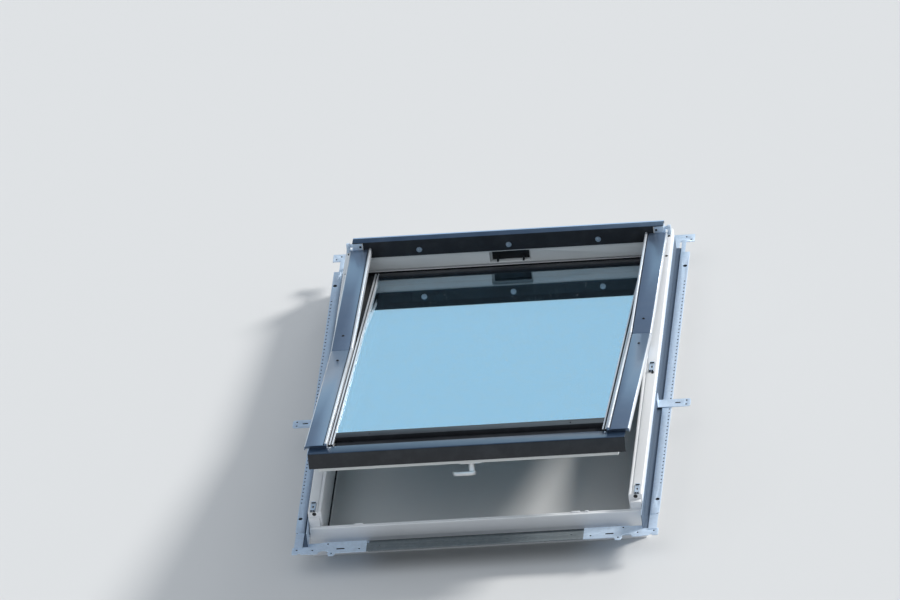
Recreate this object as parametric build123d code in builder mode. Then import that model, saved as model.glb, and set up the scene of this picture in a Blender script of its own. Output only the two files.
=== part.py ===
from build123d import *
from math import cos, radians, sin
import os

os.makedirs("parts", exist_ok=True)

# A roof window for a pitched roof, as it stands while it is being fitted.
# X runs to the right, Y up the slope of the roof and Z straight out of the roof.
# Z = 0 is the outer face of the tile battens. The origin is in the middle of the
# bottom mounting rail, on the face that is screwed down to the batten.
# The window is ajar: the hinge frame is lifted about the top hinges, and the sash is
# turned a little further about its side pivots.

# Fixed frame
frame_width = 940
frame_height = 1400
frame_foot = 61            # from the origin up the slope to the lower end
frame_top = 70             # outer face of the jambs above the battens
frame_bottom = -70         # room side of the frame, below the batten face
jamb_width = 38
water_groove = 3
groove_inset = 8           # from the opening to the water groove
lining_groove = 12         # groove that holds the room lining
lining_lip = 16
edge_round = 3
head_width = 44
head_top = 8
sill_top = 30
sill_board = 14            # thickness of the board across the front
sill_face = 52             # height of that board
sill_tuck = 3              # how far the strip along its lower edge is set back
sill_fold = 12             # height of that strip
sill_side = 3
sill_groove = 3            # width of the groove along the top of the board
sill_groove_deep = 1.5
sill_width = 42
sill_ledge = 3
corner_width = 30          # block that closes the lower end of a jamb
corner_front = 9           # from the lower end of the frame
corner_back = 24
corner_height = 24
clip_length = 46
clip_width = 15
clip_edge = 14             # from the side of the frame in to the middle of a clip
clip_slot = 5
clip_hook = 4
clip_hood = 8              # small bridge at the lower end of a clip
clip_hood_wall = 2
low_clips = 47             # from the lower end of the frame
seal_depth = 3
seal_height = 8
seal_level = -40

# Lift of the hinge frame and turn of the sash, in degrees
hinge_lift = 4.9
sash_turn = 11.3
cover_level = 84           # height of the cover face at the upper end of the covers
cover_start = 40           # from the upper end of the frame down to that line
arm_reach = 611            # from that line down to the side pivots

# Hinge frame
arm_clearance = 2          # from the opening out to an arm
arm_width = 16
arm_height = 8
arm_tail = 25              # past the side pivots
transom_depth = 28
transom_drop = 70
transom_rise = 20
transom_gap = 2
transom_side = 3
facing = 3                 # thickness of the dark cover on the transom
facing_drop = 28
facing_hem = 10
cap_sheet = 2
cap_spread = 27            # past the end of the transom
recess_width = 118
recess_start = 4           # from the dark cover down to the pocket
recess_height = 34
recess_depth = 20
recess_round = 6
strike_wall = 2
hook_spacing = 74
hook_width = 5
hook_height = 13
hinge_inset = 14           # from the inner side of an arm in to the end of the transom
leaf_width = 27
leaf_rise = 18
leaf_sheet = 4
barrel_radius = 5
barrel_set = 16
barrel_rise = 6
bearing_width = 9
bearing_wall = 3

# Covers, with a rib along the inner edge and the outer edge turned down
cover_edge = 13            # from the side of the frame in to a cover
cover_width = 64
cover_sheet = 2
cover_leg = 12
cover_bend = 7             # outer radius of the turned edge
rib_rise = 4.5
rib_width = 7.5
rib_round = 3
rib_groove = 2.5           # groove between the rib and the sheet
cover_gap = 2              # between an upper and a lower cover
curl_start = 15            # how far a lower cover runs past the stiles

# Sash
sash_clearance = 14        # from the opening in to a stile
sash_top_gap = 7           # from the hinge line down to the sash
sash_foot_gap = 44         # from the lower end of the frame up to the stiles
stile_width = 52
stile_wall = 22
sash_depth = 84
glass_drop = 14            # from the cover face down to the glass
pane = 4
pane_gap = 16
seat_seal = 1
seat_seal_width = 20
glass_inset = 25           # from the outside of a stile in to the glass
glass_top_inset = 14
glass_foot_inset = 65
spacer_inset = 10
spacer_width = 8
bead_width = 40
bead_flange = 1.6
bead_ridge = 4
bead_rise = 7
bead_pitch = 8
top_bead_width = 21
bottom_bead_width = 38
bottom_bead_lip = 4
bottom_bead_reach = 5      # past the lower edge of the glass
foot_rail_width = 105
beam_depth = 28
beam_drop = 74
beam_spread = 3            # how far the beam stands out past a stile
nose_inset = 12            # from the outside of the covers in to the nose
nose_reach = 20            # in front of the beam
nose_drop = 58
nose_round = 4
nose_hem = 7
gutter_drop = 24
gutter_wall = 2
pivot_width = 50
pivot_drop = 40
pivot_plate = 2.3
latch_width = 100
latch_height = 20
latch_rise = 5
handle_length = 66
handle_width = 22
handle_sheet = 12
handle_stem = 24
handle_stem_radius = 9
handle_plate = 60
handle_plate_width = 26
handle_plate_sheet = 8

# Flanges, rail and brackets of sheet steel
flange_width = 42
flange_low = 18            # from the lower end of the frame
flange_end_gap = 27        # from its upper end
flange_sheet = 1.5
flange_leg = 46
flange_rise = 4
channel_width = 16
flange_corner = 12
flange_hole = 12
flange_hole_inset = 74
flange_hole_edge = 9       # from the outer edge in to the two larger holes
perforation = 4
perforation_pitch = 18
perforation_edge = 5
perforation_margin = 148
strap_place = 16           # from the side of the frame out to the strap at each end of a flange
strap_width = 24           # at the lower end
upper_strap_width = 12
strap_lap = 6
plate = 2.5
rail_inset = 165           # from the side of the frame in to the end of the rail
rail_low = -22
rail_high = 14
rail_step = 25
rail_leg = 32
rail_hole = 5.4
rail_hole_spacing = 180
bracket_spread = 45        # past the side of the frame
bracket_low = -24
bracket_high = 28          # where it steps down within the width of the frame
bracket_end_low = -22
bracket_end_high = 12
bracket_slot = 24
bracket_slot_width = 6
near_hole_place = 20       # from the end of the rail out
near_hole_level = -10      # from the origin up the slope, as the other levels
slot_place = 92            # from the side of the frame in, as the next four
slot_level = -5
back_hole_place = 55
back_hole_level = 22
tab_place = 67
tab_width = 24
tab_point = 14             # width of its narrow end
tab_reach = 13
tab_hole_level = -26
arch_place = 43
arch_radius = 15
low_hole_place = 13
low_hole_level = -6
scallop_place = 24         # from the side of the frame out, as the end hole
scallop_radius = 5
end_hole_place = 32
end_hole_level = -1
bracket_round = 4
side_bracket_spread = 95
side_bracket_width = 38
side_bracket_leg = 26
side_bracket_round = 8
side_hole_edge = 12
side_hole_margin = 9
side_slot_edge = 36
side_slot = 16
top_bracket_spread = 51
top_bracket_lap = 20
top_bracket_strip = 10     # past the side of the frame, for the part beside its end
top_bracket_start = 33     # from the end of the frame up to the outer part
top_bracket_width = 37
top_bracket_leg = 36
top_hole_edge = 10
top_hole_step = 14

# Worked out from the sizes above
frame_half = frame_width / 2
frame_end = frame_foot + frame_height
opening_half = frame_half - jamb_width
lining = frame_bottom + lining_lip
cover_outer = frame_half - cover_edge
cover_inner = cover_outer - cover_width
arm_inner = opening_half + arm_clearance
transom_half = arm_inner - hinge_inset
arm_start = -transom_gap - transom_depth
arm_floor = -cover_sheet - arm_height
sash_half = opening_half - sash_clearance
sash_up = arm_reach - sash_top_gap          # from the side pivots to the upper end
sash_down = frame_height - cover_start - arm_reach - sash_foot_gap
glass_half = sash_half - glass_inset
glass_up = sash_up - glass_top_inset
glass_down = sash_down - glass_foot_inset
bead_inner = sash_half - bead_width
beam_down = sash_down + beam_depth
beam_half = sash_half + beam_spread
nose_half = cover_outer - nose_inset
nose_down = beam_down + nose_reach
lower_cover_length = sash_down + curl_start
pane_low = -glass_drop - 2 * pane - pane_gap
seat_level = pane_low - seat_seal
seat_inner = sash_half - stile_width
wall_inner = sash_half - stile_wall
flange_outer = frame_half + flange_width
flange_start = frame_foot + flange_low
flange_end = frame_end - flange_end_gap
rail_half = frame_half - rail_inset
bracket_outer = frame_half + bracket_spread
side_bracket_outer = frame_half + side_bracket_spread
side_bracket_start = frame_foot + 0.4 * frame_height
top_bracket_outer = frame_half + top_bracket_spread
lift = radians(hinge_lift)
turn = radians(sash_turn)
foot_point = Vector(0, frame_foot, 0)
end_point = Vector(0, frame_end, 0)
hinge_line = Vector(0, frame_end - cover_start, cover_level)
pivot_line = hinge_line + Vector(0, -cos(lift), sin(lift)) * arm_reach
sides = (("left", -1), ("right", 1))


def across(start, angle, down=0.0):
    """Plane square to a leaf's slope: x to the right, y out of the roof."""
    way = Vector(0, -cos(angle), sin(angle))
    return Plane(origin=start + way * down, x_dir=(1, 0, 0), z_dir=way)


def along(start, angle, right=0.0):
    """Plane from top to bottom of a leaf: x down its slope, y out of the roof."""
    way = Vector(0, -cos(angle), sin(angle))
    return Plane(origin=start + Vector(right, 0, 0), x_dir=way, z_dir=(-1, 0, 0))


def flat_on(start, angle, out=0.0):
    """Plane that lies in a leaf: x to the right, y up its slope."""
    way = Vector(0, sin(angle), cos(angle))
    return Plane(origin=start + way * out, x_dir=(1, 0, 0), z_dir=way)


def block(near, far, low, high, side=1, mode=Mode.ADD):
    """Rectangle between two corners; side -1 puts it on the left."""
    with Locations(((near + far) / 2 * side, (low + high) / 2)):
        Rectangle(abs(far - near), abs(high - low), mode=mode)


def finish(piece, label):
    """Name a finished piece and write its file."""
    piece.label = label
    export_step(piece, f"parts/{label}.step")


# Jambs: one profile with a fine water groove in its top and a groove for the room
# lining, cut back above the sill for the corner block
for name, side in sides:
    with BuildPart() as jamb:
        with BuildSketch(across(end_point, 0)) as section:
            block(opening_half, frame_half, frame_bottom, frame_top, side)
            fillet(section.vertices().group_by(Axis.Y)[-1], edge_round)
            groove = opening_half + groove_inset
            block(groove, groove + water_groove, frame_top - water_groove, frame_top, side,
                  Mode.SUBTRACT)
            block(opening_half, opening_half + lining_groove, lining, lining + lining_groove, side,
                  Mode.SUBTRACT)
        extrude(amount=frame_height - sill_board)
        with BuildSketch(Plane.XY.offset(sill_top)):
            block(opening_half, frame_half, frame_foot, frame_foot + corner_back, side)
        extrude(amount=frame_top - sill_top, mode=Mode.SUBTRACT)
    finish(jamb.part, f"{name}_jamb")

# Head: lower than the jambs, so that the transom of the hinge frame lies above it
with BuildPart() as head:
    with BuildSketch(along(end_point, 0)):
        block(0, head_width, frame_bottom, head_top)
        block(head_width - lining_groove, head_width, lining, lining + lining_groove, 1, Mode.SUBTRACT)
    extrude(amount=opening_half, both=True)
finish(head.part, "head")

# Sill: a board across the whole front with a groove along its top and a strip set
# back along its lower edge, and a lower body between the jambs
with BuildPart() as sill:
    board_low = sill_top - sill_face
    groove_side = (sill_board - sill_groove) / 2
    with BuildSketch(along(foot_point, 0)) as section:
        block(-sill_board, 0, board_low, sill_top)
        fillet(section.vertices().group_by(Axis.Y)[-1], edge_round)
        block(-sill_tuck, 0, board_low, board_low + sill_fold, 1, Mode.SUBTRACT)
        block(groove_side - sill_board, -groove_side, sill_top - sill_groove_deep, sill_top, 1,
              Mode.SUBTRACT)
    extrude(amount=frame_half - sill_side, both=True)
    with BuildSketch(along(foot_point, 0)):
        block(-sill_width, -sill_board, frame_bottom, sill_ledge)
        block(-sill_width, -sill_width + lining_groove, lining, lining + lining_groove, 1, Mode.SUBTRACT)
    extrude(amount=opening_half, both=True)
finish(sill.part, "sill")

# Corner blocks close the lower ends of the jambs above the sill
with BuildPart() as corner_blocks:
    corner_outer = frame_half - sill_side
    for name, side in sides:
        with BuildSketch(Plane.XY.offset(sill_top)):
            block(corner_outer - corner_width, corner_outer, frame_foot + corner_front,
                  frame_foot + corner_back, side)
        extrude(amount=corner_height)
finish(corner_blocks.part, "corner_blocks")

# Cover clips: small sprung clips on the jambs, each with a cut-out, an upturned hook at
# its upper end and a small bridge at its lower end
clip_places = (frame_foot + low_clips, frame_foot + 0.48 * frame_height)
clip_middle = frame_half - clip_edge
clip_top = frame_top + cover_sheet
with BuildPart() as cover_clips:
    for name, side in sides:
        for place in clip_places:
            with BuildSketch(Plane.XY.offset(frame_top)):
                with Locations((clip_middle * side, place)):
                    Rectangle(clip_width, clip_length)
                    Rectangle(clip_slot, 2 * clip_slot, mode=Mode.SUBTRACT)
            extrude(amount=cover_sheet)
            with BuildSketch(Plane.XY.offset(clip_top)):
                with Locations((clip_middle * side, place + (clip_length - clip_hook) / 2)):
                    Rectangle(clip_width - edge_round, clip_hook)
            extrude(amount=clip_hook)
            with BuildSketch(across(Vector(clip_middle * side, place - clip_length / 2 + clip_hood, 0), 0)):
                block(-clip_width / 2 + clip_hood_wall, clip_width / 2 - clip_hood_wall, clip_top,
                      clip_top + clip_slot)
                block(-clip_slot / 2, clip_slot / 2, clip_top, clip_top + clip_slot - clip_hood_wall, 1,
                      Mode.SUBTRACT)
            extrude(amount=clip_hood)
finish(cover_clips.part, "cover_clips")

# Seals: a lip all round inside the opening, and a strip on the head under the transom
with BuildPart() as frame_seal:
    seal_low = frame_foot + sill_width
    seal_high = frame_end - head_width
    with BuildSketch(Plane.XY.offset(seal_level)):
        block(-opening_half, opening_half, seal_low, seal_high)
        block(-opening_half + seal_depth, opening_half - seal_depth, seal_low + seal_depth,
              seal_high - seal_depth, 1, Mode.SUBTRACT)
    extrude(amount=seal_height)
finish(frame_seal.part, "frame_seal")

with BuildPart() as head_seal:
    with BuildSketch(along(end_point, 0)):
        block(transom_depth - seal_height / 2, transom_depth + seal_height / 2, head_top,
              head_top + seal_depth)
    extrude(amount=opening_half - transom_side, both=True)
finish(head_seal.part, "head_seal")

# Side flanges: a leg up the jamb, a small channel, the perforated flange itself and a
# strap at each end that lies on the bracket there
flange_length = flange_end - flange_start
flange_middle = (flange_start + flange_end) / 2
perforation_count = int((flange_length - 2 * perforation_margin) / perforation_pitch) + 1
for name, side in sides:
    with BuildPart() as flange:
        step = frame_half + flange_sheet + channel_width
        with BuildSketch(across(end_point, 0)):
            block(frame_half, frame_half + flange_sheet, 0, flange_leg, side)
            block(frame_half, step, 0, flange_sheet, side)
        extrude(amount=frame_end - bracket_end_high)
        with BuildSketch(across(Vector(0, flange_end, 0), 0)):
            block(step - flange_sheet, step, 0, flange_rise + flange_sheet, side)
            block(step - flange_sheet, flange_outer, flange_rise, flange_rise + flange_sheet, side)
            block(flange_outer - flange_sheet, flange_outer, 0, flange_rise + flange_sheet, side)
        extrude(amount=flange_length)
        with BuildSketch(Plane.XY):
            with Locations(((flange_outer - flange_corner / 2) * side, flange_start + flange_corner / 2)):
                Rectangle(flange_corner, flange_corner)
            with Locations(((flange_outer - flange_corner) * side, flange_start + flange_corner)):
                Circle(flange_corner, mode=Mode.SUBTRACT)
        extrude(amount=flange_leg, mode=Mode.SUBTRACT)
        with BuildSketch(Plane.XY.offset(flange_rise)):
            with Locations(((flange_outer - perforation_edge) * side, flange_middle)):
                with GridLocations(perforation_pitch, perforation_pitch, 1, perforation_count):
                    Rectangle(perforation, perforation)
            with Locations(((flange_outer - flange_hole_edge) * side, flange_middle)):
                with GridLocations(0, flange_length - 2 * flange_hole_inset, 1, 2):
                    Circle(flange_hole / 2)
        extrude(amount=flange_sheet, mode=Mode.SUBTRACT)
        with BuildSketch(Plane.XY.offset(plate)):
            strap = frame_half + strap_place
            block(strap, strap + strap_width, bracket_end_high - strap_lap, flange_start + strap_lap, side)
            block(strap, strap + upper_strap_width, flange_end - strap_lap,
                  frame_end + top_bracket_start + strap_lap, side)
        extrude(amount=flange_rise - plate)
    finish(flange.part, f"{name}_flange")


def stepped_profile(edge):
    """Section of a rail behind its flat: stepped down at that edge and up against the sill."""
    back = frame_foot + sill_board
    block(-edge - plate, -edge, -rail_step, plate)
    block(-back, -edge, -rail_step, -rail_step + plate)
    block(-back, -back + plate, -rail_step - rail_leg, -rail_step + plate)


# Bottom rail: the sheet that holds the sill to the batten
with BuildPart() as bottom_rail:
    with BuildSketch(along(Vector(0, 0, 0), 0)):
        block(-rail_high, -rail_low, 0, plate)
        stepped_profile(rail_high)
    extrude(amount=rail_half, both=True)
    with BuildSketch(Plane.XY):
        with GridLocations(rail_hole_spacing, 0, 4, 1):
            Circle(rail_hole / 2)
    extrude(amount=plate, mode=Mode.SUBTRACT)
finish(bottom_rail.part, "bottom_rail")

# Bottom brackets: the ends of the rail with a tab, an arch and a scallop in the lower
# edge, reaching past the jambs
for name, side in sides:
    with BuildPart() as bracket:
        with BuildSketch(Plane.XY) as outline:
            block(rail_half, frame_half, bracket_low, bracket_high, side)
            block(frame_half, bracket_outer, bracket_end_low, bracket_end_high, side)
            fillet(outline.vertices().group_by(Axis.X)[-1 if side > 0 else 0], bracket_round)
            with Locations(((frame_half - arch_place) * side, bracket_low)):
                Circle(arch_radius, mode=Mode.SUBTRACT)
            with Locations(((frame_half + scallop_place) * side, bracket_end_low)):
                Circle(scallop_radius, mode=Mode.SUBTRACT)
            tab = (frame_half - tab_place) * side
            tab_low = bracket_low - tab_reach
            with BuildLine():
                Polyline((tab - tab_width / 2, bracket_low), (tab - tab_point / 2, tab_low),
                         (tab + tab_point / 2, tab_low), (tab + tab_width / 2, bracket_low), close=True)
            make_face()
            with Locations(((rail_half + near_hole_place) * side, near_hole_level),
                           ((frame_half - back_hole_place) * side, back_hole_level),
                           (tab, tab_hole_level),
                           ((frame_half - low_hole_place) * side, low_hole_level),
                           ((frame_half + end_hole_place) * side, end_hole_level)):
                Circle(rail_hole / 2, mode=Mode.SUBTRACT)
            with Locations(((frame_half - slot_place) * side, slot_level)):
                SlotOverall(bracket_slot, bracket_slot_width, mode=Mode.SUBTRACT)
        extrude(amount=plate)
        with BuildSketch(along(Vector(0, 0, 0), 0, rail_half * side)):
            stepped_profile(bracket_high)
        extrude(amount=-(opening_half - rail_half) * side)
    finish(bracket.part, f"{name}_bottom_bracket")

# Side brackets: they lie over the flange and hook up against its leg
for name, side in sides:
    with BuildPart() as bracket:
        inner = frame_half + flange_sheet
        low = side_bracket_start
        high = side_bracket_start + side_bracket_width
        level = flange_rise + flange_sheet
        with BuildSketch(Plane.XY.offset(level)) as outline:
            block(inner, side_bracket_outer, low, high, side)
            fillet(outline.vertices().group_by(Axis.X)[-1 if side > 0 else 0], side_bracket_round)
            with Locations(((side_bracket_outer - side_hole_edge) * side, (low + high) / 2)):
                with GridLocations(0, side_bracket_width - 2 * side_hole_margin, 1, 2):
                    Circle(rail_hole / 2, mode=Mode.SUBTRACT)
            with Locations(((side_bracket_outer - side_slot_edge) * side, (low + high) / 2)):
                SlotOverall(side_slot, rail_hole, mode=Mode.SUBTRACT)
        extrude(amount=plate)
        with BuildSketch(Plane.XY.offset(level)):
            block(inner, inner + plate, low, high, side)
        extrude(amount=side_bracket_leg)
    finish(bracket.part, f"{name}_side_bracket")

# Top brackets: angles on the upper ends of the jambs that run up the slope and out
for name, side in sides:
    with BuildPart() as bracket:
        inner = frame_half - top_bracket_lap
        outer_low = frame_end + top_bracket_start
        outer_high = outer_low + top_bracket_width
        with BuildSketch(Plane.XY):
            block(inner, frame_half + top_bracket_strip, frame_end, outer_high, side)
            block(inner, top_bracket_outer, outer_low, outer_high, side)
            for step in range(2):
                hole = top_bracket_outer - top_hole_edge - step * top_hole_step
                with Locations((hole * side, outer_low + top_hole_edge + step * top_hole_step)):
                    Circle(rail_hole / 2, mode=Mode.SUBTRACT)
        extrude(amount=plate)
        with BuildSketch(Plane.XY):
            block(inner, frame_half, frame_end, frame_end + plate, side)
        extrude(amount=-top_bracket_leg)
    finish(bracket.part, f"{name}_top_bracket")

# Arms of the hinge frame: flat bars under the upper covers
for name, side in sides:
    with BuildPart() as arm:
        with BuildSketch(across(hinge_line, lift, arm_start)):
            block(arm_inner, arm_inner + arm_width, arm_floor, -cover_sheet, side)
        extrude(amount=arm_reach + arm_tail - arm_start)
    finish(arm.part, f"{name}_arm")

# Transom: closes the hinge frame at the top, with a pocket for the latch
transom_low_half = opening_half - transom_side
with BuildPart() as transom:
    with BuildSketch(along(hinge_line, lift)):
        block(arm_start, -transom_gap, -transom_drop, arm_floor)
    extrude(amount=transom_low_half, both=True)
    with BuildSketch(along(hinge_line, lift)):
        block(arm_start, -transom_gap, arm_floor, transom_rise)
    extrude(amount=transom_half, both=True)
    recess_high = -facing_drop - recess_start
    recess_low = recess_high - recess_height
    with BuildSketch(across(hinge_line, lift, -transom_gap)) as recess:
        block(-recess_width / 2, recess_width / 2, recess_low, recess_high)
        fillet(recess.vertices().group_by(Axis.Y)[-1], recess_round)
    extrude(amount=-recess_depth, mode=Mode.SUBTRACT)
finish(transom.part, "transom")

# Transom cover: a dark angle over the top and down the front of the transom
with BuildPart() as transom_cover:
    with BuildSketch(along(hinge_line, lift)):
        block(-transom_gap, facing - transom_gap, -facing_drop, transom_rise + cap_sheet)
    extrude(amount=transom_half - transom_side, both=True)
    with BuildSketch(along(hinge_line, lift)):
        block(arm_start - cap_sheet, facing - transom_gap, transom_rise, transom_rise + cap_sheet)
        block(arm_start - cap_sheet, arm_start, transom_rise - facing_hem, transom_rise)
    extrude(amount=transom_half + cap_spread, both=True)
finish(transom_cover.part, "transom_cover")

# Latch strike: a plate on the back of the pocket and two tongues along its floor, each
# with an upturned hook that the latch catches
with BuildPart() as latch_strike:
    strike_half = recess_width / 2 - recess_round
    pocket_back = -transom_gap - recess_depth
    with BuildSketch(along(hinge_line, lift)):
        block(pocket_back, pocket_back + strike_wall, recess_low, recess_high - recess_round)
    extrude(amount=strike_half, both=True)
    with BuildSketch(flat_on(hinge_line, lift, recess_low)):
        with Locations((0, transom_gap + recess_depth / 2)):
            with GridLocations(hook_spacing, 0, 2, 1):
                Rectangle(hook_width, recess_depth)
    extrude(amount=strike_wall)
    with BuildSketch(flat_on(hinge_line, lift, recess_low + strike_wall)):
        with Locations((0, transom_gap + 1.5 * hook_width)):
            with GridLocations(hook_spacing, 0, 2, 1):
                Rectangle(hook_width, hook_width)
    extrude(amount=hook_height)
finish(latch_strike.part, "latch_strike")

# Top hinges: a leaf on each arm with its barrel, and the bearing on the jamb
for name, side in sides:
    with BuildPart() as hinge:
        with BuildSketch(along(hinge_line, lift, transom_half * side)):
            block(arm_start, -transom_gap, -cover_sheet, barrel_rise + barrel_radius + bearing_wall)
            block(-transom_gap - leaf_sheet, -transom_gap, -cover_sheet, leaf_rise)
        extrude(amount=-leaf_width * side)
        with BuildSketch(along(hinge_line, lift, (transom_half + leaf_width) * side)):
            with Locations((-barrel_set, barrel_rise)):
                Circle(barrel_radius)
        extrude(amount=-(cover_outer - transom_half - leaf_width) * side)
        barrel = hinge_line + Vector(0, cos(lift), -sin(lift)) * barrel_set
        barrel += Vector(0, sin(lift), cos(lift)) * barrel_rise
        bearing_radius = barrel_radius + bearing_wall
        with BuildSketch(along(Vector(0, barrel.Y, 0), 0, cover_outer * side)):
            block(-bearing_radius, bearing_radius, frame_top, barrel.Z)
            with Locations((0, barrel.Z)):
                Circle(bearing_radius)
        extrude(amount=-bearing_width * side)
    finish(hinge.part, f"{name}_top_hinge")


def cover_profile(side):
    """Section of a side cover: a rib and a groove along the inner edge, the outer one turned down."""
    inner_leg = glass_drop - bead_flange
    groove_end = cover_inner + rib_width + rib_groove
    with BuildSketch(mode=Mode.PRIVATE) as section:
        block(cover_inner, cover_outer, -cover_leg, 0, side)
        outer_corner = section.vertices().group_by(Axis.Y)[-1].sort_by(Axis.X)[-1 if side > 0 else 0]
        fillet(outer_corner, cover_bend)
        with BuildSketch(mode=Mode.PRIVATE) as hollow:
            block(cover_inner, cover_outer - cover_sheet, -cover_leg, -cover_sheet, side)
            hollow_corner = hollow.vertices().group_by(Axis.Y)[-1].sort_by(Axis.X)[-1 if side > 0 else 0]
            fillet(hollow_corner, cover_bend - cover_sheet)
        add(hollow.sketch, mode=Mode.SUBTRACT)
        block(cover_inner, groove_end + cover_sheet, -2 * cover_sheet, -cover_sheet, side)
        block(cover_inner + rib_width, groove_end, -cover_sheet, 0, side, Mode.SUBTRACT)
        with BuildSketch(mode=Mode.PRIVATE) as rib:
            block(cover_inner, cover_inner + rib_width, -cover_sheet, rib_rise, side)
            fillet(rib.vertices().group_by(Axis.Y)[-1], rib_round)
        add(rib.sketch)
        block(cover_inner, cover_inner + cover_sheet, -inner_leg, -cover_sheet, side)
    return section.sketch


# Side covers: the upper ones lie on the hinge frame, the lower ones on the sash,
# where each curls down to the bottom cover
for name, side in sides:
    with BuildPart() as upper_cover:
        with BuildSketch(across(hinge_line, lift, cover_gap)):
            add(cover_profile(side))
        extrude(amount=arm_reach - 1.5 * cover_gap)
    finish(upper_cover.part, f"{name}_upper_cover")

    with BuildPart() as lower_cover:
        with BuildSketch(across(pivot_line, turn, cover_gap / 2)):
            add(cover_profile(side))
        extrude(amount=lower_cover_length - cover_gap / 2)
        curl_plane = across(pivot_line, turn, lower_cover_length)
        curl_axis = Axis(curl_plane.from_local_coords((0, bead_flange - glass_drop, 0)), (1, 0, 0))
        with BuildSketch(curl_plane) as curl:
            add(cover_profile(side))
        revolve(axis=curl_axis, revolution_arc=-90)
    finish(lower_cover.part, f"{name}_lower_cover")

# Sash frame: rebated stiles between a top rail and a bottom rail
for name, side in sides:
    with BuildPart() as stile:
        with BuildSketch(across(pivot_line, turn, -sash_up)):
            block(seat_inner, sash_half, -sash_depth, seat_level, side)
            block(wall_inner, sash_half, seat_level, -glass_drop, side)
        extrude(amount=sash_up + sash_down)
    finish(stile.part, f"{name}_stile")

with BuildPart() as top_rail:
    with BuildSketch(along(pivot_line, turn)):
        block(-sash_up, -sash_up + stile_width, -sash_depth, seat_level)
    extrude(amount=seat_inner, both=True)
    with BuildSketch(along(pivot_line, turn)):
        block(-sash_up, -glass_up - cover_gap, seat_level, -glass_drop)
    extrude(amount=wall_inner, both=True)
finish(top_rail.part, "sash_top_rail")

gutter_floor = -gutter_drop - gutter_wall
with BuildPart() as bottom_rail_sash:
    with BuildSketch(along(pivot_line, turn)):
        block(sash_down - foot_rail_width, sash_down, -sash_depth, seat_level)
    extrude(amount=seat_inner, both=True)
    with BuildSketch(along(pivot_line, turn)):
        block(glass_down + cover_gap, sash_down, seat_level, gutter_floor)
    extrude(amount=wall_inner, both=True)
    with BuildSketch(along(pivot_line, turn)):
        block(sash_down, beam_down, -beam_drop, -glass_drop)
    extrude(amount=beam_half, both=True)
finish(bottom_rail_sash.part, "sash_bottom_rail")

# Double glazing: two panes, the spacer between them and the seal they lie on
glass_middle = (glass_up - glass_down) / 2
glass_length = glass_up + glass_down
for name, level in (("outer_pane", -glass_drop - pane), ("inner_pane", pane_low)):
    with BuildPart() as glass:
        with BuildSketch(flat_on(pivot_line, turn, level)):
            with Locations((0, glass_middle)):
                Rectangle(2 * glass_half, glass_length)
        extrude(amount=pane)
    finish(glass.part, name)

with BuildPart() as spacer:
    with BuildSketch(flat_on(pivot_line, turn, pane_low + pane)):
        with Locations((0, glass_middle)):
            Rectangle(2 * (glass_half - spacer_inset), glass_length - 2 * spacer_inset)
            ring = spacer_inset + spacer_width
            Rectangle(2 * (glass_half - ring), glass_length - 2 * ring, mode=Mode.SUBTRACT)
    extrude(amount=pane_gap)
finish(spacer.part, "glass_spacer")

with BuildPart() as glass_seal:
    with BuildSketch(flat_on(pivot_line, turn, seat_level)):
        with Locations((0, glass_middle)):
            Rectangle(2 * glass_half, glass_length)
            Rectangle(2 * (glass_half - seat_seal_width), glass_length - 2 * seat_seal_width,
                      mode=Mode.SUBTRACT)
    extrude(amount=seat_seal)
finish(glass_seal.part, "glass_seal")

# Glazing beads: ridged strips along the sides, flat strips at the top and bottom
bead_foot = -glass_drop + bead_flange
bead_end = sash_down - gutter_wall - cover_gap / 2
for name, side in sides:
    with BuildPart() as bead:
        with BuildSketch(across(pivot_line, turn, -sash_up)):
            block(bead_inner, sash_half, -glass_drop, bead_foot, side)
            block(bead_inner, bead_inner + bead_ridge, bead_foot, -glass_drop + bead_rise, side)
            block(bead_inner + bead_pitch, bead_inner + bead_pitch + bead_ridge, bead_foot,
                  -glass_drop + bead_rise, side)
        extrude(amount=sash_up + bead_end)
    finish(bead.part, f"{name}_bead")

with BuildPart() as top_bead:
    with BuildSketch(along(pivot_line, turn)):
        block(-sash_up, -sash_up + top_bead_width, -glass_drop, -glass_drop + bead_rise)
    extrude(amount=bead_inner, both=True)
    fillet(top_bead.edges().filter_by(Axis.X).sort_by(Axis.Z)[-1], cover_sheet)
finish(top_bead.part, "top_bead")

bead_front = glass_down + bottom_bead_reach
with BuildPart() as bottom_bead:
    with BuildSketch(along(pivot_line, turn)):
        block(bead_front - bottom_bead_width, bead_front, -glass_drop, -glass_drop + bottom_bead_lip)
        block(bead_front - bottom_bead_lip, bead_front, -gutter_drop, -glass_drop)
    extrude(amount=bead_inner, both=True)
finish(bottom_bead.part, "bottom_bead")

# Gutter below the glass and the bottom cover with its rounded nose
gutter_end = sash_down - cover_gap / 2
with BuildPart() as gutter:
    with BuildSketch(along(pivot_line, turn)):
        block(bead_front - bottom_bead_lip, gutter_end, gutter_floor, -gutter_drop)
        block(gutter_end - gutter_wall, gutter_end, -gutter_drop, -glass_drop)
    extrude(amount=bead_inner, both=True)
finish(gutter.part, "gutter")

with BuildPart() as bottom_cover:
    with BuildSketch(along(pivot_line, turn)) as nose:
        block(gutter_end - gutter_wall, nose_down, -glass_drop, bead_foot)
        block(nose_down - cover_sheet, nose_down, -nose_drop, bead_foot)
        block(nose_down - nose_hem, nose_down, -nose_drop, -nose_drop + cover_sheet)
        fillet(nose.vertices().group_by(Axis.Y)[-1].sort_by(Axis.X)[-1], nose_round)
    extrude(amount=nose_half, both=True)
finish(bottom_cover.part, "bottom_cover")

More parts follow.
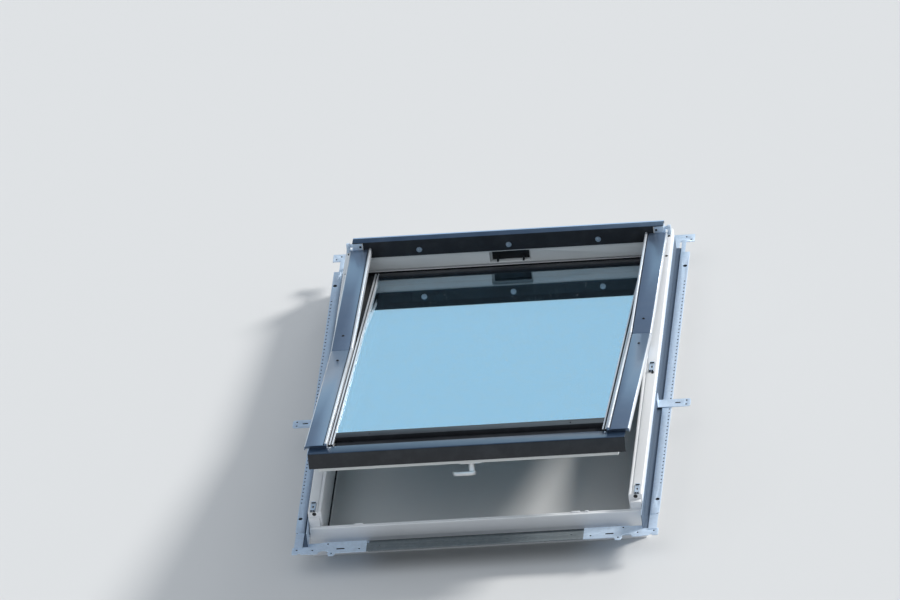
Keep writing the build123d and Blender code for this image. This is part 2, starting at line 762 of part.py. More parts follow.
# Side pivots: a friction plate on the stile and an angle under the arm
for name, side in sides:
    with BuildPart() as pivot:
        angle_inner = opening_half - pivot_plate
        with BuildSketch(across(hinge_line, lift, arm_reach - pivot_width / 2)):
            block(angle_inner, opening_half, -pivot_drop - pivot_width / 2, arm_floor, side)
            block(angle_inner, arm_inner + arm_width, arm_floor - plate, arm_floor, side)
        extrude(amount=pivot_width)
        with BuildSketch(along(hinge_line, lift, sash_half * side)):
            with Locations((arm_reach, -pivot_drop)):
                Rectangle(pivot_width, pivot_width)
        extrude(amount=-(angle_inner - sash_half) * side)
    finish(pivot.part, f"{name}_pivot")

# Latch on the top rail, opposite the strike
with BuildPart() as latch:
    with BuildSketch(along(pivot_line, turn)):
        block(-sash_up - latch_rise, -sash_up, recess_low, recess_low + latch_height)
    extrude(amount=latch_width / 2, both=True)
finish(latch.part, "latch")

# Handle on the room side of the bottom rail
handle_line = -sash_down + stile_width / 2
stem_foot = -sash_depth - handle_plate_sheet
with BuildPart() as handle:
    with BuildSketch(flat_on(pivot_line, turn, -sash_depth)):
        with Locations((0, handle_line)):
            Rectangle(handle_plate, handle_plate_width)
    extrude(amount=-handle_plate_sheet)
    with BuildSketch(flat_on(pivot_line, turn, stem_foot)):
        with Locations((0, handle_line)):
            Circle(handle_stem_radius)
    extrude(amount=-handle_stem)
    with BuildSketch(flat_on(pivot_line, turn, stem_foot - handle_stem)):
        with Locations(((handle_width - handle_length) / 2, handle_line)):
            SlotOverall(handle_length, handle_width)
    extrude(amount=-handle_sheet)
finish(handle.part, "handle")
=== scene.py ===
# %% [markdown]
# # A roof window, standing ajar
# In use the window lies in a slope, which is level here: X runs to the right, Y up the
# slope and Z straight out of it. Its CAD model is loaded as a fixed frame in metres, with
# one object for each part. What follows dresses it: softer edges, coats, glass and screws,
# then light and a camera.

from math import cos, pi, radians, sin

import bmesh
import bpy
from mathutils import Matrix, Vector


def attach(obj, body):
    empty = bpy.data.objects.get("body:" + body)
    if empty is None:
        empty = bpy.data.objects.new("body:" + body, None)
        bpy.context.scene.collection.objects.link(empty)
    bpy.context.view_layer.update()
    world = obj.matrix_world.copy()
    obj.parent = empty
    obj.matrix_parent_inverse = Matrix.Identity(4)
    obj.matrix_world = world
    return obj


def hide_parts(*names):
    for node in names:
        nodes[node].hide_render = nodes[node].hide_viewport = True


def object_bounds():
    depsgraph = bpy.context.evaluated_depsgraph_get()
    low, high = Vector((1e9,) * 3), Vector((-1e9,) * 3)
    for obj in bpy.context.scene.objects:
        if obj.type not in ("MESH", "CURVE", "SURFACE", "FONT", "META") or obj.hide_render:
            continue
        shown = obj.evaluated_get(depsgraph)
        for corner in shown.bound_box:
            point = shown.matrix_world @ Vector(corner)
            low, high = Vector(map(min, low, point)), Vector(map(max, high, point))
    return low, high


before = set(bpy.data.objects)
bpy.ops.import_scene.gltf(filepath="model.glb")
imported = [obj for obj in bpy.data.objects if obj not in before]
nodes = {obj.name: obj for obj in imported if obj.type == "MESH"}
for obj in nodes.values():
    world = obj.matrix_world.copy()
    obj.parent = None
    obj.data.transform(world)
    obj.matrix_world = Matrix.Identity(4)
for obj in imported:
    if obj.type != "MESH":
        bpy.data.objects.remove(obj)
cad_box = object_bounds()
print("frame:", len(nodes), "nodes, box", [tuple(round(v, 3) for v in corner) for corner in cad_box])

# %% [markdown]
# ## Two leaves and their planes
# The window is a fixed frame with two leaves. The hinge frame is lifted a little about the
# top edge, and the sash turns further about pivots half way down. Places on a tilted leaf
# could be worked out in X, Y and Z, but they are easier to check in the leaf's own terms:
# how far to the right, how far down its slope, and how far out of its face. A small class
# keeps the directions of one leaf, and the level fixed frame counts as a third leaf. Sizes
# are written in millimetres.

# %% Planes of the leaves
MM = 0.001
hinge_lift = radians(4.9)
sash_turn = radians(11.3)
hinge_line = (0, 1421, 84)
arm_reach = 611


class Leaf:
    """A flat leaf of the window, with its directions down the slope and out of its face."""

    def __init__(self, start, angle):
        self.start = start
        self.down = Vector((0, -cos(angle), sin(angle)))
        self.out = Vector((0, sin(angle), cos(angle)))

    def at(self, right, down, out=0.0):
        """Point in metres, from millimetres to the right, down and out."""
        return self.start + Vector((right * MM, 0, 0)) + self.down * (down * MM) + self.out * (out * MM)

    def terms(self, point):
        """Millimetres from the middle, down and out of a point in metres."""
        way = point - self.start
        return abs(way.x) / MM, way.dot(self.down) / MM, way.dot(self.out) / MM


def on_frame(x, y, z):
    """Point in metres on the fixed frame, from millimetres."""
    return Vector((x, y, z)) * MM


slope = Leaf(Vector((0, 0, 0)), 0.0)
hinge_leaf = Leaf(on_frame(*hinge_line), hinge_lift)
sash_leaf = Leaf(hinge_leaf.at(0, arm_reach), sash_turn)
print("side pivots at", tuple(round(v, 4) for v in sash_leaf.start))

# %% [markdown]
# ## Surface effects as node groups
# Real coats are never one flat colour. Sprayed paint has a fine orange peel, dust settles
# unevenly, and zinc crystallises in soft patches. Image textures could show this, but they
# have one resolution and need unwrapped parts, and noise in a shader has neither limit.
# Each effect is built once as a node group with named sockets and reused with other values.
# It reads Object coordinates, so a pattern stays put on the piece at its real size.

# %% Node helpers
COLOUR, NUMBER, INTEGER = "NodeSocketColor", "NodeSocketFloat", "NodeSocketInt"


def shader_group(name, inputs):
    """New shader node group; inputs are (name, socket type, default)."""
    tree = bpy.data.node_groups.new(name, "ShaderNodeTree")
    for label, kind, value in inputs:
        socket = tree.interface.new_socket(label, in_out="INPUT", socket_type=kind)
        socket.default_value = value
    for label, kind in (("Colour", COLOUR), ("Roughness", NUMBER), ("Height", NUMBER)):
        tree.interface.new_socket(label, in_out="OUTPUT", socket_type=kind)
    return tree, tree.nodes.new("NodeGroupInput"), tree.nodes.new("NodeGroupOutput")


def feed(tree, socket, value):
    """Give a socket a link where the value is an output, or else the plain value."""
    if hasattr(value, "links"):
        tree.links.new(value, socket)
    else:
        socket.default_value = value


def noise(tree, scale, detail=3.0, roughness=0.5, stretch=None):
    """Noise on Object coordinates, in cycles per metre; a stretch under 1 draws it out along that axis."""
    place = tree.nodes.new("ShaderNodeTexCoord")
    texture = tree.nodes.new("ShaderNodeTexNoise")
    texture.inputs["Scale"].default_value = scale
    texture.inputs["Detail"].default_value = detail
    texture.inputs["Roughness"].default_value = roughness
    source = place.outputs["Object"]
    if stretch:
        mapping = tree.nodes.new("ShaderNodeMapping")
        mapping.inputs["Scale"].default_value = stretch
        tree.links.new(source, mapping.inputs["Vector"])
        source = mapping.outputs["Vector"]
    tree.links.new(source, texture.inputs["Vector"])
    return texture.outputs["Fac"]


def remap(tree, value, low, high, to_low, to_high):
    """Clamped change of range of a number."""
    node = tree.nodes.new("ShaderNodeMapRange")
    for label, number in (("Value", value), ("From Min", low), ("From Max", high),
                          ("To Min", to_low), ("To Max", to_high)):
        feed(tree, node.inputs[label], number)
    return node.outputs["Result"]


def maths(tree, operation, first, second):
    """One Math node; either side may be a number or a socket."""
    node = tree.nodes.new("ShaderNodeMath")
    node.operation = operation
    feed(tree, node.inputs[0], first)
    feed(tree, node.inputs[1], second)
    return node.outputs[0]


def blend_colour(tree, factor, first, second):
    """Mix of two colours; each side may be a colour or a socket."""
    node = tree.nodes.new("ShaderNodeMix")
    node.data_type = "RGBA"
    for socket, value in ((node.inputs[0], factor), (node.inputs[6], first), (node.inputs[7], second)):
        feed(tree, socket, value)
    return node.outputs[2]


print("socket types:", COLOUR, NUMBER, INTEGER)

# %% [markdown]
# The covers of the window are lacquered sheets. The first group is that sprayed coat: a
# slow drift of tone over the sheet, a fine orange peel for the bump, and dust that also
# takes the shine off. A broad, rough noise gives its film, and a fine one single specks.

# %% Group: sprayed coat
coat, given, result = shader_group(
    "sprayed_coat",
    [("Paint", COLOUR, (0.1, 0.1, 0.1, 1)), ("Dust", COLOUR, (0.4, 0.39, 0.36, 1)),
     ("Dust Amount", NUMBER, 0.2), ("Drift", NUMBER, 0.1), ("Gloss Roughness", NUMBER, 0.3)])
black = (0, 0, 0, 1)
dust_dulls = 0.3
dust_amount = given.outputs["Dust Amount"]
drift = remap(coat, noise(coat, 5.0), 0.3, 0.7, 0.0, 1.0)
dark_paint = blend_colour(coat, given.outputs["Drift"], given.outputs["Paint"], black)
paint = blend_colour(coat, drift, dark_paint, given.outputs["Paint"])
film = remap(coat, noise(coat, 26.0, detail=6.0, roughness=0.62), 0.42, 0.75, 0.0, dust_amount)
specks = remap(coat, noise(coat, 420.0, detail=2.0), 0.68, 0.74, 0.0, dust_amount)
dust = maths(coat, "MAXIMUM", film, specks)
dulled = maths(coat, "ADD", given.outputs["Gloss Roughness"], maths(coat, "MULTIPLY", dust, dust_dulls))
coat.links.new(blend_colour(coat, dust, paint, given.outputs["Dust"]), result.inputs["Colour"])
coat.links.new(dulled, result.inputs["Roughness"])
coat.links.new(noise(coat, 900.0, detail=2.0), result.inputs["Height"])
print(coat.name, len(coat.nodes), "nodes")

# %% [markdown]
# Flanges, rail and brackets are galvanised. The second group is their zinc: crystal
# patches under a centimetre across, each a little lighter or duller than the next, with
# faint rolling marks along the slope. A cell texture gives every patch its own tone, which
# noise can't do, and a noise drawn out along Y gives the rolling marks.

# %% Group: zinc patches
zinc, given, result = shader_group(
    "zinc_patches",
    [("Metal", COLOUR, (0.6, 0.6, 0.6, 1)), ("Contrast", NUMBER, 0.2), ("Gloss Roughness", NUMBER, 0.35)])
patches_per_metre = 130.0
dull_zinc = (0.16, 0.17, 0.19, 1)
shade_dulls = 0.7
along_slope = (1.0, 0.04, 1.0)
place = zinc.nodes.new("ShaderNodeTexCoord")
cells = zinc.nodes.new("ShaderNodeTexVoronoi")
cells.inputs["Scale"].default_value = patches_per_metre
zinc.links.new(place.outputs["Object"], cells.inputs["Vector"])
tone = zinc.nodes.new("ShaderNodeSeparateColor")
zinc.links.new(cells.outputs["Color"], tone.inputs["Color"])
patch = maths(zinc, "MULTIPLY", tone.outputs["Red"], given.outputs["Contrast"])
rolling = noise(zinc, 60.0, detail=4.0, roughness=0.6, stretch=along_slope)
rolled = remap(zinc, rolling, 0.3, 0.7, 0.0, 0.12)
shade = maths(zinc, "ADD", patch, rolled)
dulled = maths(zinc, "ADD", given.outputs["Gloss Roughness"], maths(zinc, "MULTIPLY", shade, shade_dulls))
zinc.links.new(blend_colour(zinc, shade, given.outputs["Metal"], dull_zinc), result.inputs["Colour"])
zinc.links.new(dulled, result.inputs["Roughness"])
zinc.links.new(noise(zinc, 240.0), result.inputs["Height"])
print(zinc.name, len(zinc.nodes), "nodes")

# %% [markdown]
# Frame and sash have a smooth white coat, moulded round a core. The third group gives it a
# fine soft grain and the faint grey marks of handling. Smears and nicks are two noises,
# both drawn out along the slope, the way such parts are slid.

# %% Group: moulded coat
moulded, given, result = shader_group(
    "moulded_coat",
    [("Coat", COLOUR, (0.8, 0.8, 0.8, 1)), ("Mark", COLOUR, (0.45, 0.43, 0.40, 1)),
     ("Mark Amount", NUMBER, 0.15)])
clean_roughness, marked_roughness = 0.32, 0.5
mark_amount = given.outputs["Mark Amount"]
smears = noise(moulded, 11.0, detail=6.0, roughness=0.66, stretch=(1.0, 0.35, 1.0))
smear = remap(moulded, smears, 0.50, 0.78, 0.0, mark_amount)
nicks = noise(moulded, 150.0, stretch=(1.0, 0.3, 1.0))
nick = remap(moulded, nicks, 0.70, 0.74, 0.0, mark_amount)
mark = maths(moulded, "MAXIMUM", smear, nick)
moulded.links.new(blend_colour(moulded, mark, given.outputs["Coat"], given.outputs["Mark"]),
                  result.inputs["Colour"])
moulded.links.new(remap(moulded, mark, 0.0, 0.3, clean_roughness, marked_roughness),
                  result.inputs["Roughness"])
moulded.links.new(noise(moulded, 1100.0, detail=2.0), result.inputs["Height"])
print(moulded.name, len(moulded.nodes), "nodes")

# %% [markdown]
# ## The finishes
# Each finish is one material with a Principled BSDF. What is the same all over, such as how
# metallic it is, is set on the shader's own sockets, and only what varies comes from a
# group. One function wires them all, so a finish is no more than a group and its values.

# %% A finish from a group
coat_roughness = 0.12
bump_distance = 0.2 * MM


def finish(name, group, values, bump, metallic=0.0, coat_weight=0.0, specular=0.5):
    """Material whose colour, roughness and bump come from one of the groups."""
    material = bpy.data.materials.new(name)
    material.use_nodes = True
    tree = material.node_tree
    shader = tree.nodes["Principled BSDF"]
    effect = tree.nodes.new("ShaderNodeGroup")
    effect.node_tree = group
    for label, value in values.items():
        effect.inputs[label].default_value = value
    tree.links.new(effect.outputs["Colour"], shader.inputs["Base Color"])
    tree.links.new(effect.outputs["Roughness"], shader.inputs["Roughness"])
    relief = tree.nodes.new("ShaderNodeBump")
    relief.inputs["Strength"].default_value = bump
    relief.inputs["Distance"].default_value = bump_distance
    tree.links.new(effect.outputs["Height"], relief.inputs["Height"])
    tree.links.new(relief.outputs["Normal"], shader.inputs["Normal"])
    shader.inputs["Metallic"].default_value = metallic
    shader.inputs["Coat Weight"].default_value = coat_weight
    shader.inputs["Coat Roughness"].default_value = coat_roughness
    shader.inputs["Specular IOR Level"].default_value = specular
    return material


print("a finish takes one of:", coat.name, zinc.name, moulded.name)

# %% [markdown]
# The covers carry a grey lacquer. Plain paint would stay the same grey from every side, and
# bare metal would mirror too much, so it is part metallic under a thin clear coat, and
# changes with the side that it turns to the sky. Slate is the side covers. Navy and sky are
# painted reflection on the upper faces of the dark covers, coloured as if they mirrored
# more or less of the sky, and lip is a painted highlight, a pale coat on the edges of ribs
# and rims. Graphite is plain dull paint for screws, and painted shade on dark trims and in holes.

# %% Lacquers
slate_coat = finish(
    "slate_coat", coat,
    {"Paint": (0.165, 0.230, 0.330, 1), "Dust": (0.34, 0.38, 0.44, 1), "Dust Amount": 0.10,
     "Drift": 0.08, "Gloss Roughness": 0.30}, bump=0.06, metallic=0.6, coat_weight=0.25)
# Navy is a painted reflection of the sky on the upper faces of the dark covers.
navy_painted_reflection = finish(
    "navy_painted_reflection", coat,
    {"Paint": (0.034, 0.064, 0.115, 1), "Dust": (0.28, 0.33, 0.40, 1), "Dust Amount": 0.07,
     "Drift": 0.12, "Gloss Roughness": 0.30}, bump=0.06, metallic=0.4, coat_weight=0.25)
# Sky is a paler painted reflection, on the rear strip of the transom cover.
painted_sky_reflection = finish(
    "painted_sky_reflection", coat,
    {"Paint": (0.46, 0.62, 0.84, 1), "Dust": (0.50, 0.55, 0.62, 1), "Dust Amount": 0.08,
     "Drift": 0.15, "Gloss Roughness": 0.28}, bump=0.05, metallic=0.4, coat_weight=0.3)
# Graphite is plain dull paint on screws, and painted shade on the dark trims and in holes.
graphite_and_painted_shade = finish(
    "graphite_and_painted_shade", coat,
    {"Paint": (0.023, 0.025, 0.029, 1), "Dust": (0.18, 0.19, 0.21, 1), "Dust Amount": 0.08,
     "Drift": 0.12, "Gloss Roughness": 0.36}, bump=0.25, specular=0.3)
# Lip is a painted highlight: a pale coat on the edges of ribs and rims, and on the dimples.
painted_highlight_coat = finish(
    "painted_highlight_coat", coat,
    {"Paint": (0.72, 0.75, 0.79, 1), "Dust": (0.50, 0.52, 0.55, 1), "Dust Amount": 0.12,
     "Drift": 0.15, "Gloss Roughness": 0.30}, bump=0.01, metallic=0.35, coat_weight=0.3)
print("lacquers:", slate_coat.name, navy_painted_reflection.name, painted_sky_reflection.name, graphite_and_painted_shade.name, painted_highlight_coat.name)

# %% [markdown]
# The fixed frame is a clean white and the sash a slightly greyer one. Neither is near 1.0,
# because a white that high clips in the sun and loses its edges.

# %% White coats
frame_coat = finish(
    "frame_coat", moulded,
    {"Coat": (0.80, 0.81, 0.82, 1), "Mark": (0.44, 0.43, 0.41, 1), "Mark Amount": 0.14}, bump=0.15)
sash_coat = finish(
    "sash_coat", moulded,
    {"Coat": (0.72, 0.74, 0.73, 1), "Mark": (0.42, 0.40, 0.37, 1), "Mark Amount": 0.12}, bump=0.15)
print("white coats:", frame_coat.name, sash_coat.name)

# %% [markdown]
# All bare metal uses the zinc group. Fresh sheet is bright, and its pale blue is a painted
# reflection of the sky. The channel beside each jamb and the stepped rail under the sill get
# painted shade, a darker colour with a duller skin. Hinges and pivots are the least metallic,
# with the same painted sky blue. Bright screws, rivets, the handle and the spacer in the
# glazing are fully metallic, in a satin polish.

# %% Metals
# Its pale blue is a painted reflection of the sky.
zinc_painted_sky_blue = finish(
    "zinc_painted_sky_blue", zinc,
    {"Metal": (0.66, 0.79, 0.94, 1), "Contrast": 0.10, "Gloss Roughness": 0.34}, bump=0.15,
    metallic=0.35)
# Darker colour of painted shade in the channel.
channel_zinc_painted_shade = finish(
    "channel_zinc_painted_shade", zinc,
    {"Metal": (0.11, 0.16, 0.23, 1), "Contrast": 0.15, "Gloss Roughness": 0.45}, bump=0.2,
    metallic=0.45)
# Darker colour of painted shade on the rail.
rail_zinc_painted_shade = finish(
    "rail_zinc_painted_shade", zinc,
    {"Metal": (0.22, 0.25, 0.26, 1), "Contrast": 0.20, "Gloss Roughness": 0.42}, bump=0.2,
    metallic=0.6)
# Its pale blue is a painted reflection of the sky.
hinge_plate_painted_sky_blue = finish(
    "hinge_plate_painted_sky_blue", zinc,
    {"Metal": (0.66, 0.80, 0.95, 1), "Contrast": 0.10, "Gloss Roughness": 0.36}, bump=0.1,
    metallic=0.2)
satin_metal = finish(
    "satin_metal", zinc,
    {"Metal": (0.70, 0.71, 0.72, 1), "Contrast": 0.06, "Gloss Roughness": 0.28}, bump=0.1,
    metallic=1.0)
print("metals:", zinc_painted_sky_blue.name, channel_zinc_painted_shade.name, rail_zinc_painted_shade.name, hinge_plate_painted_sky_blue.name, satin_metal.name)

# %% [markdown]
# Seals and the latch's tray are the darkest things here. The black plastic also serves as
# painted shade, on the walls of the clips and in small deep openings. The sprayed coat
# serves them too, with little dust and a rougher skin for the rubber. A black of exactly
# zero would swallow their shape, so both keep about one percent.

# %% Rubber and plastic
seal_rubber = finish(
    "seal_rubber", coat,
    {"Paint": (0.012, 0.012, 0.013, 1), "Dust": (0.12, 0.12, 0.12, 1), "Dust Amount": 0.10,
     "Drift": 0.3, "Gloss Roughness": 0.55}, bump=0.3, specular=0.3)
# Also painted shade on the walls of the clips and in small deep openings.
black_plastic_and_painted_shade = finish(
    "black_plastic_and_painted_shade", coat,
    {"Paint": (0.010, 0.010, 0.011, 1), "Dust": (0.10, 0.10, 0.10, 1), "Dust Amount": 0.06,
     "Drift": 0.2, "Gloss Roughness": 0.42}, bump=0.3, specular=0.35)
print("blacks:", seal_rubber.name, black_plastic_and_painted_shade.name)

# %% [markdown]
# Glass is the largest face of the window. Panes like these carry a sun-control coating and
# mirror a blue sky far more strongly than bare glass. A tinted mirror would hide the frame
# below, and plain glass would hardly reflect. Full transmission with a plain, part metallic
# value does both, and a clear coat adds the sharp outer reflection. A faint smear and dried
# drops vary the roughness.

# %% Glass
glass_ior = 1.52
dried_drop = (0.95, 0.96, 0.97, 1)


def glass(name, tint, smear_roughness, speck_strength, mirror, film):
    """Clear pane with a faint smear and dried drops in its roughness and tint."""
    material = bpy.data.materials.new(name)
    material.use_nodes = True
    tree = material.node_tree
    shader = tree.nodes["Principled BSDF"]
    shader.inputs["Transmission Weight"].default_value = 1.0
    shader.inputs["IOR"].default_value = glass_ior
    shader.inputs["Metallic"].default_value = mirror
    shader.inputs["Coat Weight"].default_value = film
    shader.inputs["Coat Roughness"].default_value = 0.0
    smear = remap(tree, noise(tree, 30.0, detail=5.0, roughness=0.65), 0.45, 0.8, 0.0, smear_roughness)
    specks = remap(tree, noise(tree, 190.0, detail=2.0), 0.71, 0.745, 0.0, speck_strength)
    tree.links.new(maths(tree, "MAXIMUM", smear, specks), shader.inputs["Roughness"])
    tree.links.new(blend_colour(tree, specks, tint, dried_drop), shader.inputs["Base Color"])
    return material


outer_glass = glass("outer_glass", (0.66, 0.86, 0.97, 1), smear_roughness=0.04, speck_strength=0.5,
                    mirror=0.42, film=1.0)
inner_glass = glass("inner_glass", (0.78, 0.92, 0.95, 1), smear_roughness=0.02, speck_strength=0.0,
                    mirror=0.0, film=0.0)
print("finishes:", len(bpy.data.materials))

# %% [markdown]
# ## Softened edges
# No sheet or moulding has a perfectly sharp edge: a tiny radius catches the light and draws
# the bright lines along ribs and ridges. The CAD mesh is loose triangles, so a copy is
# merged, its flat faces are joined again, and a narrow Bevel modifier rounds what is
# sharper than 35 degrees. Hardened normals keep the flats flat.
#
# Some parts show more than one finish, such as a cover with a bright rib. Splitting them
# into more objects would leave seams, so the faces are sorted: a patch is a material with a
# test, and each face takes the first patch whose test it passes. A test gets the place of
# the face in its leaf's terms and the way it faces. Where a patch ends in the middle of a
# flat, a cut puts an edge there first.

# %% Soften a CAD piece
merge_distance = 0.002 * MM
flat_angle, bevel_angle = radians(0.5), radians(35)


def add_piece(name, mesh):
    """Put a mesh in the scene as a piece of the window's one rigid body."""
    piece = bpy.data.objects.new(name, mesh)
    bpy.context.scene.collection.objects.link(piece)
    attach(piece, "root")
    return piece


def sort_faces(work, leaf, patches):
    """Give each face the number of the first patch whose test it passes."""
    for face in work.faces:
        middle = face.calc_center_median()
        away = face.normal.x if middle.x > 0 else -face.normal.x
        facing = (away, face.normal.dot(leaf.down), face.normal.dot(leaf.out))
        for index, (patch_material, belongs) in enumerate(patches, 1):
            if belongs(*leaf.terms(middle), facing):
                face.material_index = index
                break


def soften(node, radius, material, leaf, patches, cuts):
    """Replace a CAD node by a copy with small rounded edges, its finish and its patches."""
    mesh = nodes[node].data.copy()
    work = bmesh.new()
    work.from_mesh(mesh)
    bmesh.ops.remove_doubles(work, verts=work.verts, dist=merge_distance)
    bmesh.ops.dissolve_limit(work, angle_limit=flat_angle, verts=work.verts, edges=work.edges)
    for down in cuts:
        bmesh.ops.bisect_plane(work, geom=work.verts[:] + work.edges[:] + work.faces[:],
                               plane_co=leaf.at(0, down), plane_no=leaf.down)
    sort_faces(work, leaf, patches)
    mesh.materials.clear()
    for one in (material, *(patch_material for patch_material, belongs in patches)):
        mesh.materials.append(one)
    work.to_mesh(mesh)
    work.free()
    mesh.shade_smooth()
    piece = add_piece(f"{node}_finished", mesh)
    bevel = piece.modifiers.new("soft edges", "BEVEL")
    bevel.width = radius * MM
    bevel.segments = 2
    bevel.limit_method = "ANGLE"
    bevel.angle_limit = bevel_angle
    bevel.harden_normals = True
    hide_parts(node)


print("edges sharper than", round(bevel_angle / radians(1)), "degrees are rounded")

# %% [markdown]
# The side covers have a rib along their inner edge and roll over at the outer one. Both
# get a painted highlight, a pale coat where the sun would draw thin white lines, and the
# groove beside the rib is dark. The glazing strips next to the glass are dark too, with a
# painted highlight on their ridges and on the walls that face the glass. Each limit is in
# millimetres, from the middle of the window or out of the leaf's face.

# %% Patches on the covers and glazing strips
AWAY, DOWN, OUT = range(3)
UPRIGHT = 0.5
rib_inside, rib_outside, groove_outside = 393.3, 400.7, 403.2
groove_inside, groove_floor, groove_mouth = 400.3, -2.4, -0.3
crown_level = 0.4
rolled_from, rolled_level, rolled_facing = 452, 0.1, 0.35
ridge_level, ridge_foot = -8.5, -13


def painted_highlight_on_cover(side, down, out, facing):
    """Painted highlight on the crown and inner wall of the rib, and on the rolled outer edge."""
    crown = side < rib_outside and out > crown_level
    inner_wall = side < rib_inside and facing[AWAY] < -UPRIGHT
    rolled = side > rolled_from and out < rolled_level and facing[AWAY] > rolled_facing
    return crown or inner_wall or rolled


def dark_in_groove(side, down, out, facing):
    """Walls and floor of the groove beside the rib."""
    return groove_inside < side < groove_outside and groove_floor < out < groove_mouth


def painted_highlight_on_bead(side, down, out, facing):
    """Painted highlight on the tops of the two ridges, and on the walls that face the glass."""
    return out > ridge_level or (facing[AWAY] < -UPRIGHT and out > ridge_foot)


cover_patches = ((painted_highlight_coat, painted_highlight_on_cover), (seal_rubber, dark_in_groove))
bead_patches = ((painted_highlight_coat, painted_highlight_on_bead),)
print("patches on covers:", len(cover_patches), "on beads:", len(bead_patches))

# %% [markdown]
# Two dark covers turn an upper face to the sky. Their graphite is painted shade, and the
# nose of the bottom cover and the top of the transom cover get a painted reflection of the
# sky in navy. The rear strip of the latter gets a paler one, as bright as the sky. The head
# is black where it faces the opening, and the walls of the clips get painted shade in black.

# %% Patches on the dark covers, head and clips
facing_up, nose_up = 0.5, 0.6
transom_top = 19.0
rear_edge = -26
opening_half = 432


def top_of_transom(side, down, out, facing):
    return out > transom_top and facing[OUT] > facing_up


def rear_of_transom(side, down, out, facing):
    return down < rear_edge and top_of_transom(side, down, out, facing)


def top_of_nose(side, down, out, facing):
    return facing[OUT] > nose_up


def seal_on_head(side, down, out, facing):
    return facing[DOWN] > UPRIGHT and side < opening_half


# Painted shade on the walls of the clips that face down the slope or sideways.
def painted_shade_on_clip(side, down, out, facing):
    return facing[DOWN] > UPRIGHT or abs(facing[AWAY]) > UPRIGHT


transom_cover_patches = ((painted_sky_reflection, rear_of_transom), (navy_painted_reflection, top_of_transom))
nose_patches = ((navy_painted_reflection, top_of_nose),)
head_patches = ((seal_rubber, seal_on_head),)
clip_patches = ((black_plastic_and_painted_shade, painted_shade_on_clip),)
print("transom cover is cut", -rear_edge, "mm behind its hinge line")

# %% [markdown]
# Each flange is one folded sheet. Its channel lies in the shade of the jamb, painted into
# its darker colour, and the cut walls of its holes get painted shade, dark against the
# bright strip. From a few metres away those walls are all that shows of a hole, so they
# decide whether the row can be seen at all.

# %% Patches on the flanges
channel_inside, channel_outside, channel_top = 471.4, 486.2, 45.0
strip_from, strip_floor, strip_ceiling = 486.5, 3.9, 5.6
row_inside, row_outside = 504, 510
strip_start, strip_end = 80, 1433


def shaded_channel(side, down, out, facing):
    """Painted shade on the leg and floor of the channel beside the jamb."""
    return channel_inside < side < channel_outside and out < channel_top


def painted_shade_in_hole(side, down, out, facing):
    """Painted shade on the upright walls of the holes, and not on the outer edges of the strip."""
    in_strip = side > strip_from and strip_floor < out < strip_ceiling and strip_start < -down < strip_end
    in_row = abs(facing[DOWN]) > UPRIGHT or row_inside < side < row_outside
    return in_strip and in_row and abs(facing[OUT]) < UPRIGHT


flange_patches = ((channel_zinc_painted_shade, shaded_channel), (graphite_and_painted_shade, painted_shade_in_hole))
print("patches on a flange:", len(flange_patches))

# %% [markdown]
# Now every part gets its line: its edge radius in millimetres, its finish, the material
# slot it is listed under, and its patches. A moulded part has a radius of almost a
# millimetre, and a folded sheet about a quarter.

# %% Finish of every part
def pair(*kinds):
    """Names of the left and right parts of each kind."""
    return [f"{side}_{kind}" for side in ("left", "right") for kind in kinds]


hinge_leaf_pieces = [
    (pair("upper_cover"), 0.35, slate_coat, "cover_grey", cover_patches),
    (["transom"], 0.8, sash_coat, "sash_white", ()),
    # The transom cover's graphite is painted shade, with painted reflection on its top.
    (["transom_cover"], 0.5, graphite_and_painted_shade, "cover_dark", transom_cover_patches),
    (["latch_strike"], 0.3, black_plastic_and_painted_shade, "strike", ()),
    (pair("arm", "top_hinge"), 0.4, hinge_plate_painted_sky_blue, "hinge_steel", ())]
sash_leaf_pieces = [
    (pair("lower_cover"), 0.35, slate_coat, "cover_grey", cover_patches),
    (pair("bead"), 0.25, seal_rubber, "cover_dark", bead_patches),
    # The graphite of these strips and of the bottom cover is painted shade.
    (["top_bead", "gutter", "bottom_bead"], 0.4, graphite_and_painted_shade, "cover_dark", ()),
    (["bottom_cover"], 0.4, graphite_and_painted_shade, "cover_grey", nose_patches),
    (pair("stile") + ["sash_top_rail", "sash_bottom_rail"], 0.8, sash_coat, "sash_white", ()),
    (pair("pivot") + ["latch"], 0.4, hinge_plate_painted_sky_blue, "hinge_steel", ()),
    (["handle"], 1.2, satin_metal, "handle", ()),
    (["glass_spacer"], 0.2, satin_metal, "spacer", ()),
    (["glass_seal"], 0.2, seal_rubber, "seal", ())]
frame_pieces = [
    (pair("jamb") + ["sill", "corner_blocks"], 0.9, frame_coat, "frame_white", ()),
    (["head"], 0.9, frame_coat, "frame_white", head_patches),
    (pair("flange"), 0.25, zinc_painted_sky_blue, "zinc", flange_patches),
    (pair("bottom_bracket", "side_bracket", "top_bracket"), 0.25, zinc_painted_sky_blue, "zinc", ()),
    (["bottom_rail"], 0.25, rail_zinc_painted_shade, "zinc", ()),
    (["cover_clips"], 0.25, zinc_painted_sky_blue, "zinc", clip_patches),
    (["frame_seal", "head_seal"], 0.6, seal_rubber, "seal", ())]
cuts = {"transom_cover": (rear_edge,)}
softened = 0
for leaf, pieces in ((hinge_leaf, hinge_leaf_pieces), (sash_leaf, sash_leaf_pieces), (slope, frame_pieces)):
    for names, radius, material, slot, patches in pieces:
        for node in names:
            soften(node, radius, material, leaf, patches, cuts.get(node, ()))
        softened += len(names)
print("softened:", softened, "of", len(nodes), "nodes")

# %% [markdown]
# The two panes keep their CAD shape and only get their material. A bevel would add nothing
# behind the strips that hide their edges.

